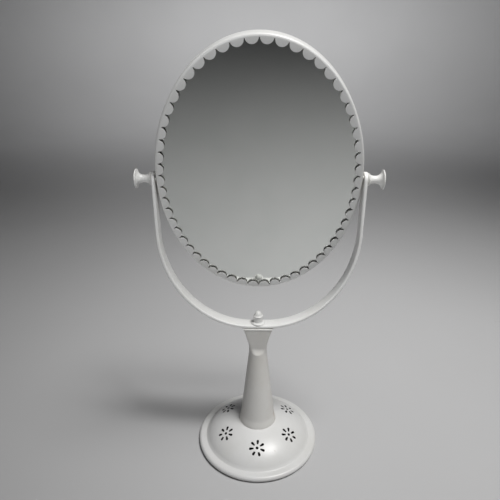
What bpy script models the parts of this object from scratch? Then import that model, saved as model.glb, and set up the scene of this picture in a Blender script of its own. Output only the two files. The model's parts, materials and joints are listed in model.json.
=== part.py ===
"""Table-top dressing mirror: an oval tilting mirror in a U-shaped yoke on a domed stand.

Units are metres, +Z is up and the mirror faces -Y. The origin is the middle of the base's
underside. The mirror tilts about the X axis that runs through the two side knobs.
"""
import math

import bmesh
import bpy
from mathutils import Matrix, Vector

MM = 0.001
TINY = 0.001 * MM                 # less than any real size here

# Clearances
GAP = 0.3 * MM                    # between two pieces that touch
RUNNING_GAP = 0.3 * MM            # round a screw or rod in its hole
SWING_CLEARANCE = 12.75 * MM      # from the finial's tip up to the hoop as it swings past

# Base
BASE_RADIUS = 65.0 * MM
BASE_SHEET = 1.2 * MM             # thickness of the pressed steel
DOME_RADIUS = 56.0 * MM           # where the dome meets its flange
DOME_OVERRUN = 2.0 * MM           # how far the dome's oval would reach past the flange corner
DOME_CROWN = 29.2 * MM            # height of the dome's oval above the table
FLANGE_HEIGHT = 6.5 * MM          # top of the flange above the table
RIM_LIFT = 0.4 * MM               # the rolled rim stands this far above the table
FELT_THICKNESS = 2.0 * MM
BALLAST_MARGIN = 3.5 * MM         # ballast edge inside the rolled rim's centre
BALLAST_HUB_RADIUS = 16.0 * MM
BALLAST_HUB_HEIGHT = 9.0 * MM     # hub above the ballast's underside
FLOWER_COUNT = 6
FLOWER_RADIUS = 39.2 * MM         # from the base's axis to a flower's centre
PETAL_COUNT = 7
PETAL_INNER_DISTANCE = 4.4 * MM
PETAL_INNER_RADIUS = 0.7 * MM
PETAL_OUTER_DISTANCE = 7.1 * MM
PETAL_OUTER_RADIUS = 1.3 * MM
FLOWER_EYE_RADIUS = 1.4 * MM
FLOWER_TWIST = math.radians(-6)   # the petal that points at the stem is turned by this much

# Stem
STEM_HEIGHT = 116.3 * MM
STEM_FOOT_RADIUS = 19.9 * MM
STEM_FOOT_FLARE = 1.0 * MM        # extra radius right at the foot
STEM_FLARE_HEIGHT = 9.0 * MM
STEM_NECK_RADIUS = 9.2 * MM
STEM_HEAD_HEIGHT = 29.9 * MM      # from the neck up to the stem's flat top
STEM_HEAD_HALF_WIDTH = 14.8 * MM
STEM_HEAD_HALF_DEPTH = 7.8 * MM
STEM_WAIST_HALF_DEPTH = 6.1 * MM  # where the flats on the head begin
STEM_HEAD_SQUARENESS = 6.0        # power of the head's rounded rectangle; 2 is an oval
STEM_HEAD_CURVE = 1.35            # above 1, the head widens slowly at first
STEM_WIDEN_FROM = 0.3             # share of the head's height where it begins to widen
STEM_FLATTEN_FROM = 0.02          # share of the head's height where the flats begin
STEM_FLATTEN_TO = 0.28            # share of the head's height where the flats are complete
STEM_WALL = 4.0 * MM
STEM_BORE_CEILING = 40.0 * MM     # solid metal above the wide bore
SADDLE_THICKNESS = 0.8 * MM

# Tie rod
ROD_RADIUS = 2.4 * MM
ROD_WASHER_RADIUS = 5.5 * MM
ROD_WASHER_THICKNESS = 1.0 * MM
ROD_NUT_RADIUS = 4.6 * MM         # across the corners
ROD_NUT_THICKNESS = 3.0 * MM
ROD_THREAD_IN_FINIAL = 6.5 * MM

# Finial
FINIAL_SKIRT_RADIUS = 6.9 * MM
FINIAL_SKIRT_THICKNESS = 1.7 * MM
FINIAL_SKIRT_EDGE = 0.6 * MM      # upright edge of the skirt
FINIAL_SKIRT_SLOPE = 1.3 * MM     # height where the skirt's slope meets its shoulder
FINIAL_SHOULDER_WIDTH = 0.85 * MM
FINIAL_BODY_RADIUS = 4.7 * MM
FINIAL_WAIST_RADIUS = 4.4 * MM
FINIAL_RIDGE_RADIUS = 5.0 * MM
FINIAL_BODY_HEIGHT = 5.9 * MM     # nut body up to the middle of the ridge
FINIAL_DOME_RADIUS = 3.6 * MM
FINIAL_DOME_HEIGHT = 5.1 * MM
FINIAL_RIDGE_HALF_WIDTH = 0.4 * MM
FINIAL_STEP = 1.0 * MM            # plain band at the body's foot, and the slope under the ridge

# Mirror head
HOOP_HALF_WIDTH = 91.2 * MM
HOOP_HALF_HEIGHT = 122.2 * MM
HOOP_DEPTH = 11.5 * MM
HOOP_SHEET = 1.0 * MM
HOOP_CORNER_RADIUS = 2.2 * MM
TAB_PITCH = 11.4 * MM             # between neighbouring tabs, made to fit round the oval
TAB_THICKNESS = 1.2 * MM
TAB_CENTRE_INSET = 2.25 * MM      # from the hoop's outside to the centre of a tab's round end
TAB_RADIUS = 5.35 * MM
NOTCH_INSET = 2.75 * MM           # from the hoop's outside to the point between two tabs
NOTCH_DEPTH = 0.25 * MM           # of the small V at that point
GLASS_THICKNESS = 1.8 * MM
GLASS_EDGE_GAP = 1.6 * MM         # from the hoop's inside to the glass
PAD_THICKNESS = 5.9 * MM
COVER_THICKNESS = 0.6 * MM
TONGUE_COUNT = 8
TONGUE_WIDTH = 7.0 * MM
TONGUE_TIP_WIDTH = 5.6 * MM
TONGUE_LENGTH = 5.0 * MM          # from the hoop's outside
TONGUE_THICKNESS = 0.7 * MM
TONGUE_SETBACK = 0.1 * MM         # tongues lie this far inside the hoop's rear edge
HEAD_TILT = math.radians(13.6)    # the top leans forward

# Yoke
YOKE_THICKNESS = 3.2 * MM
YOKE_WIDTH = 13.5 * MM
YOKE_ARM = 50.4 * MM              # straight part of each arm, below the pivot
YOKE_EDGE_ROUND = 0.4 * MM
YOKE_SEAT_MARGIN = 0.6 * MM       # flat of the bar that shows round the finial's washer

# Pivots
SPACER_THICKNESS = 0.5 * MM
SPACER_RADIUS = 4.5 * MM
SCREW_RADIUS = 1.4 * MM
PIVOT_NUT_RADIUS = 2.5 * MM
PIVOT_NUT_THICKNESS = 1.0 * MM
FRICTION_WASHER_RADIUS = 5.9 * MM
FRICTION_WASHER_THICKNESS = 0.8 * MM
KNOB_COLLAR_RADIUS = 5.6 * MM
KNOB_COLLAR_THICKNESS = 0.7 * MM
KNOB_WAIST_RADIUS = 3.4 * MM
KNOB_RADIUS = 8.7 * MM
KNOB_RIM_THICKNESS = 1.4 * MM
KNOB_LENGTH = 13.6 * MM
KNOB_WAIST_PLACE = 0.45           # share of the way from the collar to the rim
KNOB_CROWN = 0.12 * MM            # the knob's end face bulges this much

# Facets round a full turn
BASE_STEPS = 40
STEM_STEPS = 28
SMALL_STEPS = 20
PLATE_STEPS = 48
TAB_ARC_STEPS = 6
YOKE_BEND_STEPS = 16

# Places worked out from the sizes above
RIM_RADIUS = (FLANGE_HEIGHT - RIM_LIFT) / 2
RIM_CENTRE_RADIUS = BASE_RADIUS - RIM_RADIUS
BALLAST_BOTTOM = FELT_THICKNESS + GAP
BALLAST_RADIUS = RIM_CENTRE_RADIUS - BALLAST_MARGIN
DOME_AXIS = DOME_RADIUS + DOME_OVERRUN
SEAT_RADIUS = STEM_FOOT_RADIUS + GAP
HOLE_RADIUS = ROD_RADIUS + RUNNING_GAP
SCREW_HOLE_RADIUS = SCREW_RADIUS + RUNNING_GAP


def dome_rise():
    """Vertical half-axis of the dome's oval, which passes through the flange's corner."""
    corner = math.sqrt(1 - (DOME_RADIUS / DOME_AXIS) ** 2)
    return (DOME_CROWN - FLANGE_HEIGHT) / (1 - corner)


def dome_height(radius):
    """Height of the dome's outside at a distance from the base's axis."""
    rise = dome_rise()
    return DOME_CROWN - rise + rise * math.sqrt(1 - (radius / DOME_AXIS) ** 2)


def dome_lean(radius):
    """Angle between the dome's surface and the table at a distance from the base's axis."""
    slope = dome_rise() * radius / DOME_AXIS ** 2 / math.sqrt(1 - (radius / DOME_AXIS) ** 2)
    return math.atan(slope)


SEAT_Z = dome_height(SEAT_RADIUS)
STEM_BOTTOM_Z = SEAT_Z + GAP
STEM_TOP_Z = STEM_BOTTOM_Z + STEM_HEIGHT
SADDLE_Z = STEM_TOP_Z + GAP
YOKE_BOTTOM_Z = SADDLE_Z + SADDLE_THICKNESS + GAP
YOKE_SEAT_Z = YOKE_BOTTOM_Z + YOKE_THICKNESS
FINIAL_WASHER_Z = YOKE_SEAT_Z + GAP
FINIAL_NUT_Z = FINIAL_WASHER_Z + FINIAL_SKIRT_THICKNESS + GAP
FINIAL_TIP_Z = FINIAL_NUT_Z + FINIAL_BODY_HEIGHT + FINIAL_DOME_HEIGHT
HOOP_REACH = math.hypot(HOOP_HALF_HEIGHT, HOOP_DEPTH / 2)
PIVOT_Z = FINIAL_TIP_Z + SWING_CLEARANCE + HOOP_REACH
YOKE_DROP = PIVOT_Z - YOKE_SEAT_Z
YOKE_HALF_WIDTH = HOOP_HALF_WIDTH + SPACER_THICKNESS + 2 * GAP
YOKE_OUTSIDE = YOKE_HALF_WIDTH + YOKE_THICKNESS
YOKE_SEAT_HALF_LENGTH = FINIAL_SKIRT_RADIUS + YOKE_SEAT_MARGIN
PIVOT_NUT_X = HOOP_HALF_WIDTH - HOOP_SHEET - GAP - PIVOT_NUT_THICKNESS
FRICTION_WASHER_X = YOKE_OUTSIDE + GAP
KNOB_X = FRICTION_WASHER_X + FRICTION_WASHER_THICKNESS + GAP

FRONT_Y = -HOOP_DEPTH / 2                       # the head's front face, before it is tilted
GLASS_FRONT_Y = FRONT_Y + TAB_THICKNESS + GAP
PAD_FRONT_Y = GLASS_FRONT_Y + GLASS_THICKNESS + GAP
TONGUE_BACK_Y = HOOP_DEPTH / 2 - TONGUE_SETBACK
TONGUE_FRONT_Y = TONGUE_BACK_Y - TONGUE_THICKNESS
COVER_FRONT_Y = TONGUE_FRONT_Y - GAP - COVER_THICKNESS
GLASS_INSET = HOOP_SHEET + GLASS_EDGE_GAP


def clear_scene():
    """Remove every object that the file starts with."""
    for item in list(bpy.data.objects):
        bpy.data.objects.remove(item, do_unlink=True)


def add_collection(name):
    """Make a collection in the scene."""
    group = bpy.data.collections.new(name)
    bpy.context.scene.collection.children.link(group)
    return group


def make_material(name, colour, roughness, metallic):
    """Make one plain material."""
    material = bpy.data.materials.new(name)
    material.use_nodes = True
    shader = material.node_tree.nodes["Principled BSDF"]
    shader.inputs["Base Color"].default_value = (*colour, 1.0)
    shader.inputs["Roughness"].default_value = roughness
    shader.inputs["Metallic"].default_value = metallic
    material.diffuse_color = (*colour, 1.0)
    return material


def white_paint(name):
    """Warm white stove paint."""
    return make_material(name, (0.80, 0.80, 0.77), 0.38, 0.0)


def steel(name):
    """Plain zinc-plated steel."""
    return make_material(name, (0.62, 0.62, 0.60), 0.35, 1.0)


def add_object(name, data, material, parent=None):
    """Put one piece in the parts collection."""
    piece = bpy.data.objects.new(name, data)
    data.materials.append(material)
    PARTS.objects.link(piece)
    piece.parent = parent
    return piece


def add_cutter(name, data, parent=None):
    """Put one hidden guide or cutting shape in the cutters collection."""
    cutter = bpy.data.objects.new(name, data)
    CUTTERS.objects.link(cutter)
    cutter.parent = parent
    cutter.hide_render = True
    cutter.display_type = "WIRE"
    return cutter


def add_empty(name, location, rotation=(0, 0, 0), parent=None):
    """Make a frame that pieces can hang from."""
    empty = bpy.data.objects.new(name, None)
    PARTS.objects.link(empty)
    empty.location = location
    empty.rotation_euler = rotation
    empty.parent = parent
    return empty


def boolean(piece, cutter, operation="DIFFERENCE"):
    """Cut a piece by a cutter, or join the cutter to it."""
    modifier = piece.modifiers.new(cutter.name, "BOOLEAN")
    modifier.operation = operation
    modifier.solver = "EXACT"
    modifier.object = cutter
    return modifier


def profile_mesh(name, outline, closed):
    """A line of (radius, height) points in the XZ plane that runs down its outer side."""
    area = sum(a[0] * b[1] - b[0] * a[1] for a, b in zip(outline, outline[1:] + outline[:1]))
    points = list(reversed(outline)) if area > 0 else list(outline)
    edges = [(i, i + 1) for i in range(len(points) - 1)]
    if closed:
        edges.append((len(points) - 1, 0))
    mesh = bpy.data.meshes.new(name)
    mesh.from_pydata([(radius, 0, height) for radius, height in points], edges, [])
    return mesh


def spin(piece, steps):
    """Turn a piece's profile once round its own Z axis."""
    screw = piece.modifiers.new("Screw", "SCREW")
    screw.axis = "Z"
    screw.angle = 2 * math.pi
    screw.steps = steps
    screw.render_steps = steps
    screw.use_merge_vertices = True
    screw.merge_threshold = 0.00001
    screw.use_smooth_shade = True
    return piece


def turned(name, outline, material, steps=SMALL_STEPS, parent=None, closed=True):
    """A turned piece: closed outlines leave a bore, open ones begin and end on the axis."""
    mesh = profile_mesh(name, outline, closed)
    return spin(add_object(name, mesh, material, parent), steps)


def turned_cutter(name, outline, steps=SMALL_STEPS, parent=None):
    """A solid turned cutting shape whose outline begins and ends on the axis."""
    return spin(add_cutter(name, profile_mesh(name, outline, closed=False), parent), steps)


def washer(name, inner, outer, thickness, material, parent=None):
    """A flat washer that stands on its own XY plane."""
    outline = [(inner, 0), (outer, 0), (outer, thickness), (inner, thickness)]
    return turned(name, outline, material, parent=parent)


def arc(centre, radius_x, radius_y, start, end, steps):
    """Points on an oval arc, with angles in degrees from +X."""
    points = []
    for i in range(steps + 1):
        angle = math.radians(start + (end - start) * i / steps)
        x = centre[0] + radius_x * math.cos(angle)
        y = centre[1] + radius_y * math.sin(angle)
        points.append((x, y))
    return points


def prism(bm, outline, bottom, top):
    """Add a closed upright prism on an outline to a bmesh."""
    lower = [bm.verts.new((x, y, bottom)) for x, y in outline]
    face = bm.faces.new(lower)
    raised = bmesh.ops.extrude_face_region(bm, geom=[face])["geom"]
    moved = [item for item in raised if isinstance(item, bmesh.types.BMVert)]
    bmesh.ops.translate(bm, verts=moved, vec=(0, 0, top - bottom))


def finish_bmesh(bm, name):
    """Turn a bmesh into a mesh whose faces point outwards."""
    bmesh.ops.recalc_face_normals(bm, faces=bm.faces[:])
    mesh = bpy.data.meshes.new(name)
    bm.to_mesh(mesh)
    bm.free()
    return mesh


# ---------------------------------------------------------------- base


def dome_profile(inset):
    """The dome from its seat down to the flange, moved in by the sheet's thickness."""
    steps = 7
    points = [(HOLE_RADIUS, SEAT_Z - inset)]
    for i in range(steps + 1):
        radius = SEAT_RADIUS + (DOME_RADIUS - SEAT_RADIUS) * i / steps
        lean = dome_lean(radius)
        length = inset
        if i in (0, steps):
            lean /= 2
            length /= math.cos(lean)
        points.append((radius - length * math.sin(lean), dome_height(radius) - length * math.cos(lean)))
    return points


def make_base_dome():
    """The pressed dome, its flange and its rolled rim, with the flowers pierced through."""
    centre = (RIM_CENTRE_RADIUS, RIM_LIFT + RIM_RADIUS)
    rolled = RIM_RADIUS - BASE_SHEET
    outside = dome_profile(0) + arc(centre, RIM_RADIUS, RIM_RADIUS, 90, -90, 6)
    inside = dome_profile(BASE_SHEET)[:-1]
    inside.append((DOME_RADIUS, FLANGE_HEIGHT - BASE_SHEET))
    inside += arc(centre, rolled, rolled, 90, -90, 4)
    outline = outside + list(reversed(inside))
    dome = turned("base_dome", outline, white_paint("base_paint"), BASE_STEPS)
    for cutter in flower_cutters():
        boolean(dome, cutter)
    return dome


def petal_outline(angle):
    """A teardrop that is round and wide at its outer end."""
    near = arc((PETAL_INNER_DISTANCE, 0), PETAL_INNER_RADIUS, PETAL_INNER_RADIUS, 110, 250, 2)
    far = arc((PETAL_OUTER_DISTANCE, 0), PETAL_OUTER_RADIUS, PETAL_OUTER_RADIUS, -100, 100, 5)
    turn = Matrix.Rotation(angle, 2)
    return [tuple(turn @ Vector(point)) for point in near + far]


def flower_cutters():
    """One cutting shape for each flower, standing square to the dome's surface."""
    bm = bmesh.new()
    reach = 3 * BASE_SHEET
    prism(bm, arc((0, 0), FLOWER_EYE_RADIUS, FLOWER_EYE_RADIUS, 0, 324, 9), -reach, reach)
    for i in range(PETAL_COUNT):
        prism(bm, petal_outline(math.pi + FLOWER_TWIST + 2 * math.pi * i / PETAL_COUNT),
              -reach, reach)
    mesh = finish_bmesh(bm, "flower_cutter")
    cutters = []
    for i in range(FLOWER_COUNT):
        azimuth = 2 * math.pi * i / FLOWER_COUNT - math.pi / 2
        place = Matrix.Rotation(azimuth, 4, "Z")
        place @= Matrix.Translation((FLOWER_RADIUS, 0, dome_height(FLOWER_RADIUS)))
        place @= Matrix.Rotation(dome_lean(FLOWER_RADIUS), 4, "Y")
        cutter = add_cutter(f"flower_cutter_{i + 1}", mesh)
        cutter.matrix_world = place
        cutters.append(cutter)
    return cutters


def make_ballast():
    """The iron weight that fills the base, with a recess for the tie rod's nut."""
    top = FLANGE_HEIGHT - BASE_SHEET - GAP
    recess = ROD_WASHER_RADIUS + 2 * RUNNING_GAP
    ceiling = nut_washer_z() + ROD_WASHER_THICKNESS + GAP
    hub = BALLAST_BOTTOM + BALLAST_HUB_HEIGHT
    outline = [
        (recess, BALLAST_BOTTOM),
        (BALLAST_RADIUS, BALLAST_BOTTOM),
        (BALLAST_RADIUS, top),
        (BALLAST_HUB_RADIUS + 2 * (hub - top), top),
        (BALLAST_HUB_RADIUS, hub),
        (HOLE_RADIUS, hub),
        (HOLE_RADIUS, ceiling),
        (recess, ceiling),
    ]
    iron = make_material("cast_iron", (0.10, 0.10, 0.10), 0.7, 0.6)
    return turned("base_ballast", outline, iron, BASE_STEPS)


def make_felt():
    """The felt disc that the mirror stands on."""
    outline = [(0, FELT_THICKNESS), (BALLAST_RADIUS, FELT_THICKNESS), (BALLAST_RADIUS, 0), (0, 0)]
    felt = make_material("felt", (0.05, 0.09, 0.06), 0.95, 0.0)
    return turned("base_felt", outline, felt, BASE_STEPS, closed=False)


def rod_bottom_z():
    """The tie rod's lower end, just above the felt."""
    return BALLAST_BOTTOM + GAP


def nut_washer_z():
    """Underside of the washer between the tie rod's nut and the ballast."""
    return rod_bottom_z() + ROD_NUT_THICKNESS + GAP


def make_tie_rod():
    """The rod that clamps base, stem and yoke together, with its nut and washer."""
    bright = steel("zinc_steel")
    bottom = rod_bottom_z()
    top = FINIAL_NUT_Z + ROD_THREAD_IN_FINIAL
    chamfer = ROD_RADIUS / 4
    outline = [
        (0, top),
        (ROD_RADIUS - chamfer, top),
        (ROD_RADIUS, top - chamfer),
        (ROD_RADIUS, bottom + chamfer),
        (ROD_RADIUS - chamfer, bottom),
        (0, bottom),
    ]
    turned("tie_rod", outline, bright, closed=False)
    under = washer("tie_rod_washer", HOLE_RADIUS, ROD_WASHER_RADIUS, ROD_WASHER_THICKNESS, bright)
    under.location.z = nut_washer_z()
    bm = bmesh.new()
    prism(bm, arc((0, 0), ROD_NUT_RADIUS, ROD_NUT_RADIUS, 0, 300, 5), 0, ROD_NUT_THICKNESS)
    nut = add_object("tie_rod_nut", finish_bmesh(bm, "tie_rod_nut"), bright)
    nut.location.z = bottom
    boolean(nut, rod_hole_cutter("tie_rod_nut_bore", bottom))


# ---------------------------------------------------------------- stem


def blend(low, high, value):
    """Ease from 0 at low to 1 at high."""
    t = min(max((value - low) / (high - low), 0.0), 1.0)
    return t * t * (3 - 2 * t)


def stem_section(height):
    """Half-width, half-depth and squareness of the stem at a height above its foot."""
    neck = STEM_HEIGHT - STEM_HEAD_HEIGHT
    taper = min(height / neck, 1.0)
    radius = STEM_FOOT_RADIUS - STEM_FOOT_FLARE
    radius += (STEM_NECK_RADIUS - radius) * taper
    radius += STEM_FOOT_FLARE * (1 - blend(0, STEM_FLARE_HEIGHT, height))
    rise = max(height - neck, 0) / STEM_HEAD_HEIGHT
    flare = max(rise - STEM_WIDEN_FROM, 0) / (1 - STEM_WIDEN_FROM)
    half_width = radius + (STEM_HEAD_HALF_WIDTH - radius) * flare ** STEM_HEAD_CURVE
    flat = blend(STEM_FLATTEN_FROM, STEM_FLATTEN_TO, rise)
    facet = STEM_WAIST_HALF_DEPTH + (STEM_HEAD_HALF_DEPTH - STEM_WAIST_HALF_DEPTH) * rise
    half_depth = radius + (facet - radius) * flat
    squareness = 2 + (STEM_HEAD_SQUARENESS - 2) * flat
    return half_width, half_depth, squareness


def stem_heights():
    """Heights of the stem's sections, close together where its shape changes quickly."""
    neck = STEM_HEIGHT - STEM_HEAD_HEIGHT
    foot = [STEM_FLARE_HEIGHT * i / 3 for i in range(4)]
    cone = [STEM_FLARE_HEIGHT + (neck - STEM_FLARE_HEIGHT) * i / 3 for i in range(1, 4)]
    head = [neck + STEM_HEAD_HEIGHT * i / 12 for i in range(1, 13)]
    return foot + cone + head


def make_stem():
    """The cast stem: a slim cone whose top is flattened front and back and widened."""
    bm = bmesh.new()
    rings = []
    for height in stem_heights():
        half_width, half_depth, squareness = stem_section(height)
        ring = []
        for i in range(STEM_STEPS):
            angle = 2 * math.pi * i / STEM_STEPS
            c, s = math.cos(angle), math.sin(angle)
            x = half_width * math.copysign(abs(c) ** (2 / squareness), c)
            y = half_depth * math.copysign(abs(s) ** (2 / squareness), s)
            ring.append(bm.verts.new((x, y, height)))
        rings.append(ring)
    for lower, upper in zip(rings, rings[1:]):
        for i in range(STEM_STEPS):
            j = (i + 1) % STEM_STEPS
            bm.faces.new((lower[i], lower[j], upper[j], upper[i]))
    bm.faces.new(rings[0])
    bm.faces.new(rings[-1])
    stem = add_object("stem", finish_bmesh(bm, "stem"), white_paint("stem_paint"))
    stem.location.z = STEM_BOTTOM_Z
    stem.data.shade_smooth()
    boolean(stem, stem_bore())
    return stem


def stem_bore():
    """The stem's hollow: wide and tapered below, then a plain hole for the tie rod."""
    ceiling = STEM_HEIGHT - STEM_BORE_CEILING
    beyond = 5 * MM
    mouth = stem_section(STEM_FLARE_HEIGHT)[0] - STEM_WALL
    narrow = stem_section(ceiling)[0] - STEM_WALL
    outline = [
        (0, STEM_HEIGHT + beyond),
        (HOLE_RADIUS, STEM_HEIGHT + beyond),
        (HOLE_RADIUS, ceiling),
        (narrow, ceiling),
        (mouth, 0),
        (mouth, -beyond),
        (0, -beyond),
    ]
    cutter = turned_cutter("stem_bore", outline)
    cutter.location.z = STEM_BOTTOM_Z
    return cutter


def make_saddle():
    """The thin plate between the stem's flat top and the yoke."""
    corner = STEM_HEAD_HALF_DEPTH / 3
    across = STEM_HEAD_HALF_WIDTH - corner
    along = STEM_HEAD_HALF_DEPTH - corner
    outline = []
    for x, y, start in ((across, along, 0), (-across, along, 90), (-across, -along, 180),
                        (across, -along, 270)):
        outline += arc((x, y), corner, corner, start, start + 90, 4)
    bm = bmesh.new()
    prism(bm, outline, 0, SADDLE_THICKNESS)
    plate = add_object("saddle_plate", finish_bmesh(bm, "saddle_plate"), white_paint("saddle_paint"))
    plate.location.z = SADDLE_Z
    boolean(plate, rod_hole_cutter("saddle_hole", SADDLE_Z))
    return plate


def rod_hole_cutter(name, height):
    """A cutting shape for the tie rod's hole in a thin piece at a height."""
    reach = 2 * YOKE_THICKNESS
    outline = [(0, reach), (HOLE_RADIUS, reach), (HOLE_RADIUS, -reach), (0, -reach)]
    cutter = turned_cutter(name, outline)
    cutter.location.z = height
    return cutter


# ---------------------------------------------------------------- yoke and finial


def yoke_stations():
    """(x, z, half width) along the yoke's inner face, from the right arm's tip to the left's."""
    half = YOKE_WIDTH / 2
    tip = [(YOKE_HALF_WIDTH, half * math.sin(a), half * math.cos(a))
           for a in (math.radians(degrees) for degrees in (90, 75, 60, 45, 30, 15, 0))]
    depth = YOKE_DROP - YOKE_ARM
    reach = YOKE_HALF_WIDTH - YOKE_SEAT_HALF_LENGTH
    bend = [(x, z, half) for x, z in
            arc((YOKE_SEAT_HALF_LENGTH, -YOKE_ARM), reach, depth, 0, -90, YOKE_BEND_STEPS)]
    right = tip + bend
    return right + [(-x, z, width) for x, z, width in reversed(right)]


def make_yoke():
    """The U-shaped flat bar, with rounded ends and a hole at each pivot and at the stem."""
    bm = bmesh.new()
    rows = []
    for x, z, half in yoke_stations():
        if half < TINY:
            rows.append([bm.verts.new((x, 0, z))])
        else:
            rows.append([bm.verts.new((x, y, z)) for y in (-half, half)])
    for first, second in zip(rows, rows[1:]):
        bm.faces.new(first + list(reversed(second)))
    mesh = bpy.data.meshes.new("yoke")
    bm.to_mesh(mesh)
    bm.free()
    yoke = add_object("yoke", mesh, white_paint("yoke_paint"))
    yoke.location.z = PIVOT_Z
    shell = yoke.modifiers.new("Solidify", "SOLIDIFY")
    shell.thickness = YOKE_THICKNESS
    shell.offset = -1.0
    shell.use_even_offset = True
    edge = yoke.modifiers.new("Bevel", "BEVEL")
    edge.width = YOKE_EDGE_ROUND
    edge.segments = 1
    edge.limit_method = "ANGLE"
    edge.angle_limit = math.radians(50)
    edge.use_clamp_overlap = True
    boolean(yoke, pivot_hole_cutter("yoke_pivot_hole", YOKE_OUTSIDE * 2))
    boolean(yoke, rod_hole_cutter("yoke_rod_hole", YOKE_BOTTOM_Z))
    return yoke


def pivot_hole_cutter(name, half_length, parent=None):
    """A long pin along the tilt axis that drills both pivots at once."""
    outline = [
        (0, half_length),
        (SCREW_HOLE_RADIUS, half_length),
        (SCREW_HOLE_RADIUS, -half_length),
        (0, -half_length),
    ]
    cutter = turned_cutter(name, outline, parent=parent)
    cutter.rotation_euler.y = math.pi / 2
    if parent is None:
        cutter.location.z = PIVOT_Z
    return cutter


def make_finial():
    """The flared washer and the domed nut that close the tie rod on top of the yoke."""
    bore = HOLE_RADIUS
    skirt = FINIAL_SKIRT_THICKNESS
    outline = [
        (bore, 0),
        (FINIAL_SKIRT_RADIUS, 0),
        (FINIAL_SKIRT_RADIUS, FINIAL_SKIRT_EDGE),
        (FINIAL_BODY_RADIUS + FINIAL_SHOULDER_WIDTH, FINIAL_SKIRT_SLOPE),
        (FINIAL_BODY_RADIUS, skirt),
        (bore, skirt),
    ]
    paint = white_paint("finial_paint")
    ring = turned("finial_washer", outline, paint)
    ring.location.z = FINIAL_WASHER_Z
    ridge = FINIAL_BODY_HEIGHT
    lip = FINIAL_RIDGE_HALF_WIDTH
    outline = arc((0, ridge + lip), FINIAL_DOME_RADIUS, FINIAL_DOME_HEIGHT - lip, 90, 0, 5)
    outline += [
        (FINIAL_RIDGE_RADIUS - lip / 2, ridge + lip),
        (FINIAL_RIDGE_RADIUS, ridge),
        (FINIAL_RIDGE_RADIUS - lip / 2, ridge - lip),
        (FINIAL_WAIST_RADIUS, ridge - lip - FINIAL_STEP),
        (FINIAL_WAIST_RADIUS, ridge / 2),
        (FINIAL_BODY_RADIUS, FINIAL_STEP),
        (FINIAL_BODY_RADIUS, 0),
        (bore, 0),
        (bore, ROD_THREAD_IN_FINIAL + GAP),
        (0, ROD_THREAD_IN_FINIAL + GAP),
    ]
    nut = turned("finial_nut", outline, paint, closed=False)
    nut.location.z = FINIAL_NUT_Z


# ---------------------------------------------------------------- mirror head


def oval_point(angle, inset):
    """A point inside the hoop's outer oval by an inset, and the outward direction there."""
    outward = Vector((math.sin(angle) / HOOP_HALF_WIDTH, math.cos(angle) / HOOP_HALF_HEIGHT))
    outward.normalize()
    edge = Vector((HOOP_HALF_WIDTH * math.sin(angle), HOOP_HALF_HEIGHT * math.cos(angle)))
    return edge - outward * inset, outward


def even_angles(inset, count):
    """Angles that cut the oval at an inset into equal lengths, starting at the top."""
    fine = 40 * count
    lengths = [0.0]
    last = oval_point(0, inset)[0]
    for i in range(1, fine + 1):
        here = oval_point(2 * math.pi * i / fine, inset)[0]
        lengths.append(lengths[-1] + (here - last).length)
        last = here
    angles = []
    at = 0
    for i in range(count):
        target = lengths[-1] * i / count
        while lengths[at + 1] < target:
            at += 1
        share = (target - lengths[at]) / (lengths[at + 1] - lengths[at])
        angles.append(2 * math.pi * (at + share) / fine)
    return angles


def oval_length(inset):
    """Length round the oval at an inset."""
    points = [oval_point(angle, inset)[0] for angle in even_angles(inset, 8 * PLATE_STEPS)]
    return sum((b - a).length for a, b in zip(points, points[1:] + points[:1]))


def tab_angles():
    """Angles of the notches and the tabs' centres by turns, starting with a notch at the top."""
    tab_count = round(oval_length(TAB_CENTRE_INSET) / TAB_PITCH)
    return even_angles(TAB_CENTRE_INSET, 2 * tab_count)


def scallop_outline(angles):
    """The inner edge of the hoop's front: one round tab after another, with notches between."""
    outline = []
    start = math.asin((NOTCH_INSET + NOTCH_DEPTH - TAB_CENTRE_INSET) / TAB_RADIUS)
    for notch_angle, tab_angle in zip(angles[::2], angles[1::2]):
        outline.append(tuple(oval_point(notch_angle, NOTCH_INSET)[0]))
        centre, outward = oval_point(tab_angle, TAB_CENTRE_INSET)
        along = Vector((outward.y, -outward.x))
        for j in range(TAB_ARC_STEPS + 1):
            angle = start + (math.pi - 2 * start) * j / TAB_ARC_STEPS
            reach = -along * math.cos(angle) - outward * math.sin(angle)
            outline.append(tuple(centre + TAB_RADIUS * reach))
    return outline


def hoop_section():
    """(inset, y) round the hoop's bent strip, from the front plate's outside to its inside."""
    corner = HOOP_CORNER_RADIUS
    inner = corner - HOOP_SHEET
    outside = [(corner - x, FRONT_Y + corner - y)
               for x, y in arc((0, 0), corner, corner, 90, 0, 2)]
    inside = [(corner - x, FRONT_Y + corner - y)
              for x, y in arc((0, 0), inner, corner - TAB_THICKNESS, 0, 90, 2)]
    rear = [(0, HOOP_DEPTH / 2), (HOOP_SHEET, HOOP_DEPTH / 2)]
    return outside + rear + inside


def add_ring(bm, points, y):
    """Add a closed loop of points in the head's plane at a depth."""
    verts = [bm.verts.new((x, y, z)) for x, z in points]
    edges = [bm.edges.new((a, b)) for a, b in zip(verts, verts[1:] + verts[:1])]
    return verts, edges


def join_rings(bm, first, second):
    """Fill the strip between two loops of the same count."""
    for i in range(len(first)):
        j = (i + 1) % len(first)
        bm.faces.new((first[i], first[j], second[j], second[i]))


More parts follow.
